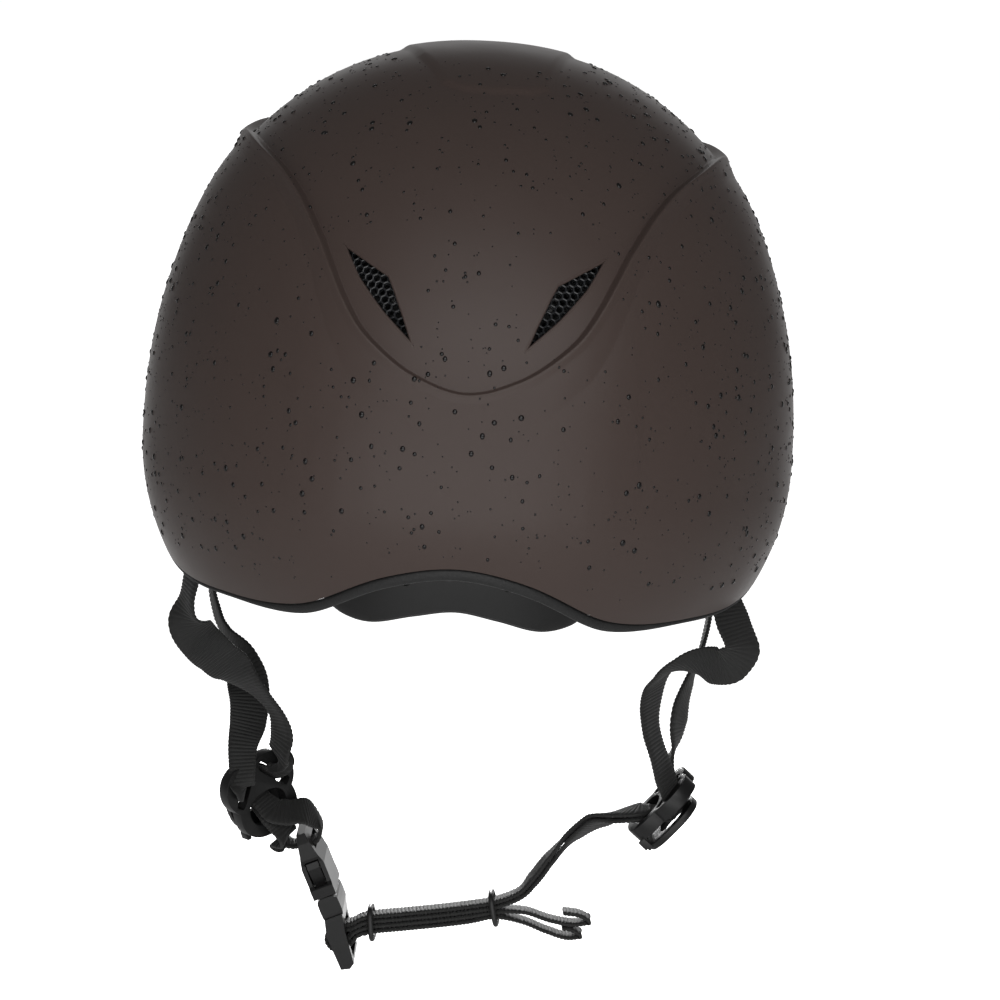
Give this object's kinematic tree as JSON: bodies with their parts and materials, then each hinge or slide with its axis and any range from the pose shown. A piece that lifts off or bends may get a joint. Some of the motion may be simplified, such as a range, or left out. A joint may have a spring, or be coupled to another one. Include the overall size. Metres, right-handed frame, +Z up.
{
  "type": "equestrian riding helmet",
  "caption": "Rounded riding helmet with a satin brown shell, short peak, dark liner, nape dial and looped chin webbing with a side-release buckle.",
  "frame": {"origin": "middle of the head cavity at the wearer's brow line, on the left-right plane of symmetry of the shell", "axes": "+Z up towards the crown, -Y forwards over the peak, +Y to the nape, +X to the wearer's left"},
  "size_m": [0.2262, 0.3204, 0.3322],
  "materials": {
    "brown_paint": "satin",
    "foam": "matte expanded foam",
    "edge_rubber": "matte, finely textured",
    "grey_plastic": "satin moulded",
    "vent_gloss": "gloss",
    "gloss_black": "polished moulding",
    "pad_fabric": "knitted lining",
    "webbing": "ribbed woven band",
    "steel": "dark satin"
  },
  "bodies": {
    "helmet": {"outer_shell": "brown_paint", "eps_liner": "foam", "edge_trim": "edge_rubber", "peak": "brown_paint", "nape_cradle": "grey_plastic", "dial_cover": "grey_plastic", "crown_pad": "pad_fabric", "brow_pad": "pad_fabric", "side_pad_left": "pad_fabric", "side_pad_right": "pad_fabric", "nape_pad": "pad_fabric", "webbing_left": "webbing", "webbing_right_rear": "webbing", "webbing_right_front": "webbing", "divider_left": "grey_plastic", "divider_right": "grey_plastic", "divider_pin_left": "steel", "divider_pin_right": "steel", "buckle_socket": "gloss_black", "peak_screw_1": "steel", "peak_screw_2": "steel", "peak_screw_3": "steel", "vent_mesh_rear_left": "vent_gloss", "strap_anchor_rear_left": "grey_plastic", "vent_mesh_rear_right": "vent_gloss", "strap_anchor_rear_right": "grey_plastic", "vent_mesh_front_left": "vent_gloss", "strap_anchor_front_left": "grey_plastic", "vent_mesh_front_right": "vent_gloss", "strap_anchor_front_right": "grey_plastic"},
    "plug": {"buckle_plug": "gloss_black", "chin_strap_inner": "webbing", "chin_strap_outer": "webbing"},
    "arm_rear": {"buckle_arm_rear": "gloss_black"},
    "arm_front": {"buckle_arm_front": "gloss_black"},
    "dial": {"dial_knob": "edge_rubber", "dial_pinion": "grey_plastic"},
    "rack_left": {"rack_left": "grey_plastic", "head_band_left": "grey_plastic"},
    "rack_right": {"rack_right": "grey_plastic", "head_band_right": "grey_plastic"},
    "lock_left": {"divider_lock_left": "grey_plastic"},
    "lock_right": {"divider_lock_right": "grey_plastic"},
    "keeper_left": {"keeper_left": "edge_rubber"},
    "keeper_right": {"keeper_right": "edge_rubber"}
  },
  "joints": [
    {"name": "buckle_release", "type": "slide", "parent": "helmet", "child": "plug", "axis": [-0.4147, 0, -0.91], "range_m": [0, 0.016]},
    {"name": "arm_rear_flex", "type": "hinge", "parent": "plug", "child": "arm_rear", "pos_m": [0.03984, 0.0055, -0.17064], "axis": [0.91, 0, -0.4147], "range_deg": [0, 18.5]},
    {"name": "arm_front_flex", "type": "hinge", "parent": "plug", "child": "arm_front", "pos_m": [0.03984, -0.0095, -0.17064], "axis": [-0.91, 0, 0.4147], "range_deg": [0, 18.5]},
    {"name": "dial_turn", "type": "hinge", "parent": "helmet", "child": "dial", "pos_m": [0, 0.0989, -0.015], "axis": [0, 1, 0], "range_deg": [-120, 120]},
    {"name": "rack_left_slide", "type": "slide", "parent": "helmet", "child": "rack_left", "axis": [1, 0, 0], "range_m": [-0.0115, 0.0115], "deforming": ["head_band_left"]},
    {"name": "rack_right_slide", "type": "slide", "parent": "helmet", "child": "rack_right", "axis": [-1, 0, 0], "range_m": [-0.0115, 0.0115], "deforming": ["head_band_right"]},
    {"name": "lock_left_flip", "type": "hinge", "parent": "helmet", "child": "lock_left", "pos_m": [0.06484, 0.00053, -0.14357], "axis": [0.7188, 0.589, -0.3694], "range_deg": [0, 30]},
    {"name": "lock_right_flip", "type": "hinge", "parent": "helmet", "child": "lock_right", "pos_m": [-0.07137, 0.006, -0.13891], "axis": [0, -1, 0], "range_deg": [0, 60]},
    {"name": "keeper_left_slide", "type": "slide", "parent": "plug", "child": "keeper_left", "axis": [-0.9872, -0.0844, 0.135], "range_m": [0, 0.008]},
    {"name": "keeper_right_slide", "type": "slide", "parent": "plug", "child": "keeper_right", "axis": [0.9755, 0.0488, -0.2146], "range_m": [0, 0.008]}
  ],
  "couplings": [
    {"joint": "arm_rear_flex", "follows": "buckle_release", "rad_per_m": 20},
    {"joint": "arm_front_flex", "follows": "buckle_release", "rad_per_m": 20},
    {"joint": "rack_left_slide", "follows": "dial_turn", "m_per_rad": 0.0054},
    {"joint": "rack_right_slide", "follows": "dial_turn", "m_per_rad": 0.0054}
  ]
}
